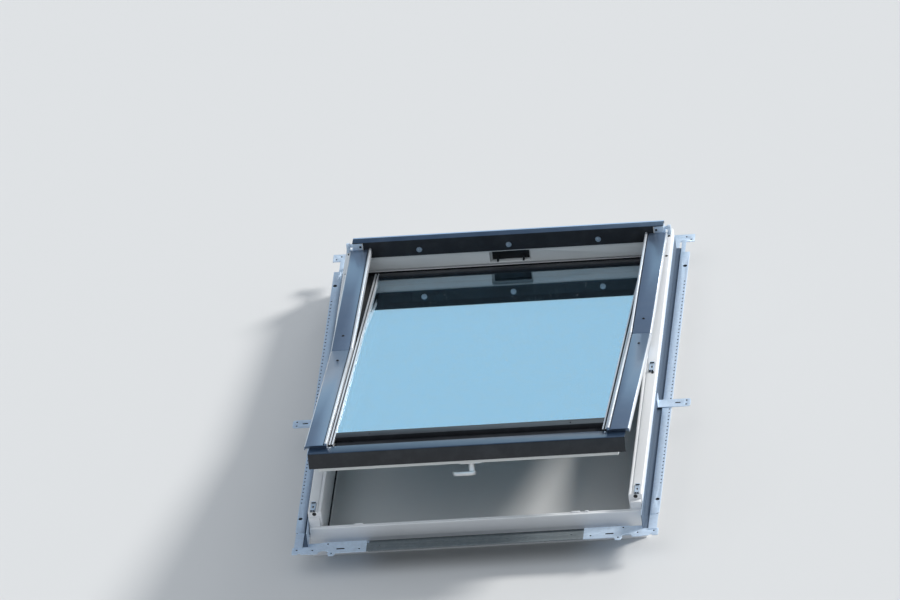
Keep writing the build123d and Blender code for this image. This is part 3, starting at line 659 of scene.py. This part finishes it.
# %% Glaze the panes
for node, material in (("outer_pane", outer_glass), ("inner_pane", inner_glass)):
    nodes[node].data.materials.clear()
    nodes[node].data.materials.append(material)
print("glazed with", outer_glass.name, "and", inner_glass.name)

# %% [markdown]
# ## Shapes for Geometry Nodes
# The sheets are held by small screws and full of small holes. They repeat, so Geometry
# Nodes make them: each tree takes bare points that carry the direction they face, sets one
# shape on every point, and realises the copies, because an export drops instances. Every
# shape is a stack of cone rings and discs of few sides, welded into a closed shell.

# %% Rings, discs and copies
weld_distance = 0.01 * MM


def geometry_tree(name, inputs):
    """New Geometry Nodes tree with named inputs and a metal; returns it with its two ends."""
    tree = bpy.data.node_groups.new(name, "GeometryNodeTree")
    tree.interface.new_socket("Geometry", in_out="INPUT", socket_type="NodeSocketGeometry")
    for label, kind, value in inputs:
        socket = tree.interface.new_socket(label, in_out="INPUT", socket_type=kind)
        socket.default_value = value
    tree.interface.new_socket("Metal", in_out="INPUT", socket_type="NodeSocketMaterial")
    tree.interface.new_socket("Geometry", in_out="OUTPUT", socket_type="NodeSocketGeometry")
    return tree, tree.nodes.new("NodeGroupInput"), tree.nodes.new("NodeGroupOutput")


def raised(tree, mesh, level):
    """A mesh moved up to a level."""
    move = tree.nodes.new("GeometryNodeTransform")
    offset = tree.nodes.new("ShaderNodeCombineXYZ")
    feed(tree, offset.inputs["Z"], level)
    tree.links.new(mesh, move.inputs["Geometry"])
    tree.links.new(offset.outputs["Vector"], move.inputs["Translation"])
    return move.outputs["Geometry"]


def ring(tree, sides, low_radius, high_radius, height, level, closed=False):
    """Cone ring that stands on a level and faces outwards; closed fills both its ends."""
    cone = tree.nodes.new("GeometryNodeMeshCone")
    cone.fill_type = "NGON" if closed else "NONE"
    for label, value in (("Vertices", sides), ("Radius Bottom", low_radius), ("Radius Top", high_radius),
                         ("Depth", height)):
        feed(tree, cone.inputs[label], value)
    return raised(tree, cone.outputs["Mesh"], level)


def disc(tree, sides, radius, level):
    """Flat disc at a level that faces up."""
    circle = tree.nodes.new("GeometryNodeMeshCircle")
    circle.fill_type = "NGON"
    feed(tree, circle.inputs["Vertices"], sides)
    feed(tree, circle.inputs["Radius"], radius)
    return raised(tree, circle.outputs["Mesh"], level)


def turned_over(tree, mesh):
    """The same faces, seen from their other side."""
    flip = tree.nodes.new("GeometryNodeFlipFaces")
    tree.links.new(mesh, flip.inputs["Mesh"])
    return flip.outputs["Mesh"]


def join(tree, parts):
    """All the parts as one geometry."""
    joined = tree.nodes.new("GeometryNodeJoinGeometry")
    for part in parts:
        tree.links.new(part, joined.inputs["Geometry"])
    return joined.outputs["Geometry"]


def copies_on_points(tree, shape, given, result):
    """Set a shape on every point, turned to the point's own direction, and end the tree."""
    facing = tree.nodes.new("GeometryNodeInputNamedAttribute")
    facing.data_type = "FLOAT_VECTOR"
    facing.inputs["Name"].default_value = "facing"
    align = tree.nodes.new("FunctionNodeAlignRotationToVector")
    align.axis = "Z"
    copies = tree.nodes.new("GeometryNodeInstanceOnPoints")
    real = tree.nodes.new("GeometryNodeRealizeInstances")
    weld = tree.nodes.new("GeometryNodeMergeByDistance")
    weld.inputs["Distance"].default_value = weld_distance
    metal = tree.nodes.new("GeometryNodeSetMaterial")
    for source, socket in (
            (facing.outputs["Attribute"], align.inputs["Vector"]),
            (given.outputs["Geometry"], copies.inputs["Points"]),
            (shape, copies.inputs["Instance"]),
            (align.outputs["Rotation"], copies.inputs["Rotation"]),
            (copies.outputs["Instances"], real.inputs["Geometry"]),
            (real.outputs["Geometry"], weld.inputs["Geometry"]),
            (weld.outputs["Geometry"], metal.inputs["Geometry"]),
            (given.outputs["Metal"], metal.inputs["Material"]),
            (metal.outputs["Geometry"], result.inputs["Geometry"])):
        tree.links.new(source, socket)


print("shapes are welded at", round(weld_distance / MM, 3), "mm")

# %% [markdown]
# A screw is a flat washer and a low head with a sunk recess. The washer is one closed cone.
# The head is a wall, a rim, the recess turned inside out, its floor and the underside. Four
# sizes are inputs and the rest are shares of them, so every screw keeps the same look.

# %% Screw tree
SIDES = 14
screw_tree, given, result = geometry_tree(
    "screws_on_points",
    [("Head Radius", NUMBER, 4 * MM), ("Head Height", NUMBER, 2 * MM),
     ("Washer Radius", NUMBER, 8 * MM), ("Washer Height", NUMBER, 1 * MM)])
head_radius, head_height = given.outputs["Head Radius"], given.outputs["Head Height"]
washer_radius, washer_height = given.outputs["Washer Radius"], given.outputs["Washer Height"]
washer_top = maths(screw_tree, "MULTIPLY", washer_radius, 0.94)
head_top = maths(screw_tree, "MULTIPLY", head_radius, 0.78)
recess_mouth = maths(screw_tree, "MULTIPLY", head_radius, 0.42)
recess_floor = maths(screw_tree, "MULTIPLY", head_radius, 0.30)
recess_depth = maths(screw_tree, "MULTIPLY", head_height, 0.55)
crown = maths(screw_tree, "ADD", washer_height, head_height)
recess_level = maths(screw_tree, "SUBTRACT", crown, recess_depth)
screw = join(screw_tree, (
    ring(screw_tree, SIDES, washer_radius, washer_top, washer_height, 0.0, closed=True),
    ring(screw_tree, SIDES, head_radius, head_top, head_height, washer_height),
    ring(screw_tree, SIDES, head_top, recess_mouth, 0.0, crown),
    turned_over(screw_tree, ring(screw_tree, SIDES, recess_floor, recess_mouth, recess_depth, recess_level)),
    disc(screw_tree, SIDES, recess_floor, recess_level),
    turned_over(screw_tree, disc(screw_tree, SIDES, head_radius, washer_height))))
copies_on_points(screw_tree, screw, given, result)
print("screw tree:", len(screw_tree.nodes), "nodes,", SIDES, "sides")

# %% [markdown]
# Each hole in the sheets gets painted shade: a tree lines it with a thin, dark, closed
# tube that narrows downwards, so the hole reads dark instead of showing the floor. Tubes in
# the CAD would cost thousands of faces. Four sides line the square perforations and
# fourteen the round holes. The tube is turned by 45 degrees, because a ring of four sides
# starts on a corner.

# %% Painted shade tree for holes
painted_shade_taper = 0.9
painted_shade_tree, given, result = geometry_tree(
    "painted_shade_on_points",
    [("Sides", INTEGER, 4), ("Radius", NUMBER, 3 * MM), ("Depth", NUMBER, 4 * MM)])
sides, radius, depth = given.outputs["Sides"], given.outputs["Radius"], given.outputs["Depth"]
narrow = maths(painted_shade_tree, "MULTIPLY", radius, painted_shade_taper)
sunk = maths(painted_shade_tree, "MULTIPLY", depth, -1.0)
shell = join(painted_shade_tree, (
    turned_over(painted_shade_tree, ring(painted_shade_tree, sides, narrow, radius, depth, sunk)),
    ring(painted_shade_tree, sides, radius, radius, depth, sunk),
    turned_over(painted_shade_tree, ring(painted_shade_tree, sides, radius, narrow, 0.0, sunk))))
square_on = painted_shade_tree.nodes.new("GeometryNodeTransform")
square_on.inputs["Rotation"].default_value = (0, 0, radians(45))
painted_shade_tree.links.new(shell, square_on.inputs["Geometry"])
copies_on_points(painted_shade_tree, square_on.outputs["Geometry"], given, result)
print("collar tree:", len(painted_shade_tree.nodes), "nodes")

# %% [markdown]
# The last tree makes small studs: a closed cone with a flat top. They serve as dimples, as
# rivets, and as painted shade: dark floors in openings too small to be worth cutting.

# %% Stud tree
stud_taper = 0.7
stud_tree, given, result = geometry_tree(
    "studs_on_points",
    [("Sides", INTEGER, 8), ("Radius", NUMBER, 2 * MM), ("Height", NUMBER, 1 * MM)])
blunt = maths(stud_tree, "MULTIPLY", given.outputs["Radius"], stud_taper)
stud = ring(stud_tree, given.outputs["Sides"], given.outputs["Radius"], blunt,
            given.outputs["Height"], 0.0, closed=True)
copies_on_points(stud_tree, stud, given, result)
print("stud tree:", len(stud_tree.nodes), "nodes")

# %% [markdown]
# A tree runs as a modifier on a mesh that is only points. Its inputs are set by their
# identifiers, because a name is only a label, and before the first evaluation. The result
# is kept as a plain mesh, and the points go, so what is left is a piece like the others.

# %% Run a tree and keep its mesh
def keep_result(name, places, tree, values):
    """Plain mesh piece made by a tree on (point, direction) places."""
    mesh = bpy.data.meshes.new(name)
    mesh.from_pydata([tuple(point) for point, way in places], [], [])
    layer = mesh.attributes.new("facing", "FLOAT_VECTOR", "POINT")
    layer.data.foreach_set("vector", [value for point, way in places for value in way])
    carrier = bpy.data.objects.new(name + "_points", mesh)
    bpy.context.scene.collection.objects.link(carrier)
    modifier = carrier.modifiers.new("tree", "NODES")
    modifier.node_group = tree
    for item in tree.interface.items_tree:
        if item.in_out == "INPUT" and item.name in values:
            modifier[item.identifier] = values[item.name]
    depsgraph = bpy.context.evaluated_depsgraph_get()
    kept = bpy.data.meshes.new_from_object(carrier.evaluated_get(depsgraph))
    bpy.data.objects.remove(carrier)
    print(name, len(places), "places,", len(kept.polygons), "faces")
    add_piece(name, kept)


def screws(name, places, head, washer, metal):
    """Screws at (point, direction) places; head and washer are (radius, height) in millimetres."""
    keep_result(
        name, places, screw_tree,
        {"Head Radius": head[0] * MM, "Head Height": head[1] * MM, "Washer Radius": washer[0] * MM,
         "Washer Height": washer[1] * MM, "Metal": metal})


def both_sides(point, places, way):
    """(point, direction) of places given for the right, on both sides of the window."""
    return [(point(side * right, *rest), way) for side in (-1, 1) for right, *rest in places]


print("inputs of a screw:", [item.name for item in screw_tree.interface.items_tree if item.in_out == "INPUT"])

# %% [markdown]
# ## Screws
# Three bright screws with washers hold the dark cover to the transom, and one dark screw
# holds each side cover, near where the upper and the lower one meet. Their places are in
# the terms of their leaf: to the right, down and out.

# %% Screws on the leaves
transom_sides, transom_face, transom_middle = (-257, 0, 257), 1, -10
cover_screw_side = 428
screws(
    "transom_screws",
    [(hinge_leaf.at(x, transom_face, transom_middle), hinge_leaf.down) for x in transom_sides],
    (4.2, 2.2), (8.5, 1.2), satin_metal)
screws(
    "cover_screws",
    [(leaf.at(side * cover_screw_side, down), leaf.out)
     for leaf, down in ((hinge_leaf, 524), (sash_leaf, 78)) for side in (-1, 1)],
    (3.2, 1.8), (4.4, 0.5), graphite_and_painted_shade)

# %% [markdown]
# Three screws stand along the top of each jamb, one in the leaf of each top hinge, and two
# in the strip below the glass. They are dark and nearly flush, so from a distance they read
# as dots. The jambs don't tilt, so their screws are placed by plain X, Y and Z.

# %% Screws on the frame, hinges and lower strip
jamb_places = [(460, y, 70) for y in (1421, 1316, 705)]
hinge_place, bead_place = (425, -2, 7), (283, 629, -10)
screws(
    "jamb_screws", both_sides(on_frame, jamb_places, slope.out),
    (3.4, 1.2), (4.4, 0.4), graphite_and_painted_shade)
screws(
    "hinge_screws", both_sides(hinge_leaf.at, [hinge_place], hinge_leaf.down),
    (3.0, 0.8), (3.6, 0.3), graphite_and_painted_shade)
screws(
    "bead_screws", both_sides(sash_leaf.at, [bead_place], sash_leaf.out),
    (2.6, 1.2), (3.2, 0.3), graphite_and_painted_shade)

# %% [markdown]
# ## Holes
# Each flange has a row of square perforations 18 mm apart and two round holes, and the
# brackets have round ones. Their places follow the same pitch and middle as the sheet. The
# tree asks for the radius at a corner, which is the root of two times a square's half width.

# %% Painted shade in the holes
def painted_shade_linings(name, places, sides, radius, depth):
    """Painted shade: dark linings in the holes of a sheet; places are (x, y, z) on its upper face."""
    keep_result(
        name, both_sides(on_frame, places, slope.out), painted_shade_tree,
        {"Sides": sides, "Radius": radius * MM, "Depth": depth * MM, "Metal": graphite_and_painted_shade})


flange_top, plate_top, strap_top = 5.5, 2.5, 8
pitch, row_middle, row_side, row_steps = 18, 756.5, 507, 29
perforation_half, fit = 2.0, 0.96
painted_shade_linings(
    "perforation_painted_shade",
    [(row_side, row_middle + pitch * step, flange_top) for step in range(-row_steps, row_steps + 1)],
    4, perforation_half * 2 ** 0.5 * fit, 4.5)
painted_shade_linings("flange_hole_painted_shade", [(503, y, flange_top) for y in (153, 1360)], SIDES, 5.85, 7)
plate_holes = ((325, -10), (415, 22), (403, -26), (457, -6), (502, -1), (511, 1504), (497, 1518))
painted_shade_linings("plate_hole_painted_shade", [(x, y, plate_top) for x, y in plate_holes], SIDES, 2.6, 4)
painted_shade_linings("strap_hole_painted_shade", [(553, y, strap_top) for y in (630, 650)], SIDES, 2.6, 4)

# %% [markdown]
# A slot gets the same painted shade, a dark lining that is long with round ends, and there
# are only four, so a bmesh loop draws them: four lines of points round the slot are joined
# into a closed tube. A half step keeps every point clear of the line where the two ends meet.

# %% Painted shade in the slots
slot_sides, slot_depth, slot_wall = 16, 3.4, 0.5
slot_fit = 0.97


def slot_line(work, centre, reach, radius, level):
    """Closed line of points round a slot that runs along X."""
    turns = [2 * pi * (step + 0.5) / slot_sides for step in range(slot_sides)]
    return [work.verts.new(on_frame(centre[0] + radius * cos(turn) + (reach if cos(turn) > 0 else -reach),
                                    centre[1] + radius * sin(turn), level)) for turn in turns]


def slot_painted_shade_lining(work, centre, length, width, top):
    """Add one dark lining of painted shade in a slot: outer wall, rim, inner wall and underside."""
    reach, outer = (length - width) / 2, width / 2 * slot_fit
    inner, low = outer - slot_wall, top - slot_depth
    lines = [slot_line(work, centre, reach, radius, level)
             for radius, level in ((outer, low), (outer, top), (inner, top), (inner, low))]
    for one, other in zip(lines, lines[1:] + lines[:1]):
        for step in range(slot_sides):
            work.faces.new((one[step - 1], one[step], other[step], other[step - 1]))


def mesh_of(work, name, material):
    """End a bmesh as a mesh with one material."""
    mesh = bpy.data.meshes.new(name)
    work.to_mesh(mesh)
    work.free()
    mesh.materials.append(material)
    return mesh


work = bmesh.new()
for side in (-1, 1):
    slot_painted_shade_lining(work, (side * 529, 640), 16, 5.4, strap_top)
    slot_painted_shade_lining(work, (side * 378, -5), 24, 6, plate_top)
bmesh.ops.recalc_face_normals(work, faces=work.faces[:])
slot_painted_shade = add_piece("slot_painted_shade", mesh_of(work, "slot_painted_shade", graphite_and_painted_shade))
print("slot collars:", len(slot_painted_shade.data.polygons), "faces")

# %% [markdown]
# ## Small forms of the frame
# A row of small dimples runs along the outer side of each jamb, at the pitch of the
# perforations, in the pale coat of painted highlight. Dark studs under the slots of the
# clips and in the lower end of each jamb are painted shade that makes them look hollow.
# Cutting into the white mouldings would take many faces for something that only shows as a
# black dot.

# %% Dimples, and painted shade in clip floors and channel ends
jamb_side, dimple_start, dimple_level, dimple_count = 470, 620, 52, 21
keep_result(
    "jamb_dimples",
    [(on_frame(side * jamb_side, dimple_start + pitch * step, dimple_level), Vector((side, 0, 0)))
     for side in (-1, 1) for step in range(dimple_count)], stud_tree,
    {"Sides": 8, "Radius": 2.6 * MM, "Height": 0.8 * MM, "Metal": painted_highlight_coat})
clip_holes = [(456, y + step, 69.9) for y in (108, 733) for step in (-2.5, 2.5)]
keep_result(
    "clip_floor_painted_shade", both_sides(on_frame, clip_holes, slope.out), stud_tree,
    {"Sides": 12, "Radius": 2.4 * MM, "Height": 0.4 * MM, "Metal": black_plastic_and_painted_shade})
jamb_end = (452, 85, 63)
keep_result(
    "jamb_end_painted_shade", both_sides(on_frame, [jamb_end], slope.down), stud_tree,
    {"Sides": SIDES, "Radius": 6 * MM, "Height": 0.4 * MM, "Metal": black_plastic_and_painted_shade})

# %% [markdown]
# Three low pads stand on the rear edge of the sill. They differ only in length, so a bmesh
# cube is stretched for each, and one bevel rounds all their edges.

# %% Pads on the sill
pad_middle, pad_width = 72.8, 3.6
pad_level, pad_height = 31.2, 3.2
pad_round = 0.8 * MM
work = bmesh.new()
for low_x, high_x in ((-341, -317), (268, 293), (307, 317)):
    for corner in bmesh.ops.create_cube(work, size=1.0)["verts"]:
        corner.co = on_frame((low_x + high_x) / 2 + corner.co.x * (high_x - low_x),
                             pad_middle + corner.co.y * pad_width, pad_level + corner.co.z * pad_height)
bmesh.ops.bevel(work, geom=work.edges[:], offset=pad_round, segments=2, affect="EDGES", profile=0.5)
sill_pads = add_piece("sill_pads", mesh_of(work, "sill_pads", frame_coat))
sill_pads.data.shade_smooth()
print("pads:", len(sill_pads.data.polygons), "faces")

# %% [markdown]
# One rivet sits near each end of the shelf behind the bottom cover. It is a stud too, like
# the dimples, but wider and in bright metal.

# %% Rivets
rivet_place = (387, 712, -12.4)
keep_result(
    "shelf_rivets", both_sides(sash_leaf.at, [rivet_place], sash_leaf.out), stud_tree,
    {"Sides": 12, "Radius": 3.4 * MM, "Height": 1.4 * MM, "Metal": satin_metal})

# %% [markdown]
# ## Floor, light and camera
# The window lies on a plain pale floor just under its lowest face. One quad is enough, so
# large that no edge shows. It isn't part of the window.

# %% Floor
floor_half = 30.0
floor_gap = 0.5 * MM
floor_finish = bpy.data.materials.new("floor_grey")
floor_finish.use_nodes = True
shader = floor_finish.node_tree.nodes["Principled BSDF"]
shader.inputs["Base Color"].default_value = (0.66, 0.66, 0.655, 1)
shader.inputs["Roughness"].default_value = 0.9
floor_level = cad_box[0].z - floor_gap
corners = [(x * floor_half, y * floor_half, floor_level) for x, y in ((-1, -1), (1, -1), (1, 1), (-1, 1))]
mesh = bpy.data.meshes.new("floor")
mesh.from_pydata(corners, [], [(0, 1, 2, 3)])
mesh.materials.append(floor_finish)
floor = bpy.data.objects.new("floor", mesh)
bpy.context.scene.collection.objects.link(floor)
print("floor at", round(floor_level, 4), "m")

# %% [markdown]
# The world fills in the shade with an even blue grey. Glass and lacquer would look dead if
# they mirrored that too, since a real sky is bright and blue near the horizon and deeper
# higher up. So rays that come from a reflection see a plain gradient by height instead,
# which gives the panes their blue and leaves the covers dark.

# %% World
low_sky, high_sky, shade_fill = (0.55, 0.82, 1.0, 1), (0.17, 0.22, 0.30, 1), (0.49, 0.52, 0.56, 1)
world = bpy.data.worlds.new("studio")
bpy.context.scene.world = world
world.use_nodes = True
tree = world.node_tree
background = tree.nodes["Background"]
path = tree.nodes.new("ShaderNodeLightPath")
way = tree.nodes.new("ShaderNodeTexCoord")
height = tree.nodes.new("ShaderNodeSeparateXYZ")
tree.links.new(way.outputs["Generated"], height.inputs["Vector"])
above = remap(tree, height.outputs["Z"], 0.20, 0.38, 0.0, 1.0)
reflected = blend_colour(tree, above, low_sky, high_sky)
seen = blend_colour(tree, path.outputs["Is Glossy Ray"], shade_fill, reflected)
tree.links.new(seen, background.inputs["Color"])
background.inputs["Strength"].default_value = 1.0
print("world:", len(tree.nodes), "nodes")

# %% [markdown]
# Three soft suns light the window. The key comes from the right and from up the slope, with
# 12 degrees of spread to soften the shadows. A weak one skims the upper edges from behind,
# and a very broad cool one lifts the left side. They are low enough for the white coats to
# keep their shape.

# %% Lamps
def sun(name, way, strength, spread, colour):
    """Sun lamp that shines from a direction, as a soft source."""
    lamp = bpy.data.lights.new(name, "SUN")
    lamp.energy = strength
    lamp.angle = radians(spread)
    lamp.color = colour
    holder = bpy.data.objects.new(name, lamp)
    holder.rotation_euler = Vector(way).to_track_quat("Z", "Y").to_euler()
    bpy.context.scene.collection.objects.link(holder)
    print(name, "strength", strength, "spread", spread)


sun("key", (0.80, 0.45, 0.50), 3.2, 12, (1.0, 0.985, 0.96))
sun("ridge", (0.33, 0.90, 0.28), 0.45, 14, (1.0, 1.0, 1.0))
sun("fill", (-0.5, -0.2, 0.9), 0.4, 60, (0.80, 0.90, 1.0))

# %% [markdown]
# The camera looks up the slope, from far away with a long lens, so parallel edges stay
# nearly parallel. Three angles say how it stands to the window: turned to the right, raised
# above the slope, and rolled. Its directions are worked out from them and written into its
# matrix. Moving it sideways and up from the point it aims at frames the window.

# %% Camera
azimuth, elevation, roll = radians(8.4835), radians(32.0748), radians(-7.8359)
distance = 50.76
lens_mm, sensor_mm, far_clip = 720.28, 36.0, 500.0
aim = Vector((0, 0.761, 0.05))
aim_right, aim_up = -0.1207, 0.2176
back = Vector((sin(azimuth) * cos(elevation), -cos(azimuth) * cos(elevation), sin(elevation)))
level_right = Vector((cos(azimuth), sin(azimuth), 0))
level_up = back.cross(level_right)
right = level_right * cos(roll) + level_up * sin(roll)
up = level_up * cos(roll) - level_right * sin(roll)
place = aim + right * aim_right + up * aim_up + back * distance
lens = bpy.data.cameras.new("camera")
lens.sensor_width = sensor_mm
lens.lens = lens_mm
lens.clip_end = far_clip
camera = bpy.data.objects.new("camera", lens)
pose = camera.matrix_world.copy()
for axis, column in enumerate((right, up, back, place)):
    for row in range(3):
        pose[row][axis] = column[row]
camera.matrix_world = pose
bpy.context.scene.collection.objects.link(camera)
bpy.context.scene.camera = camera
bpy.context.scene.view_settings.view_transform = "Standard"
print("camera at", tuple(round(v, 2) for v in place))
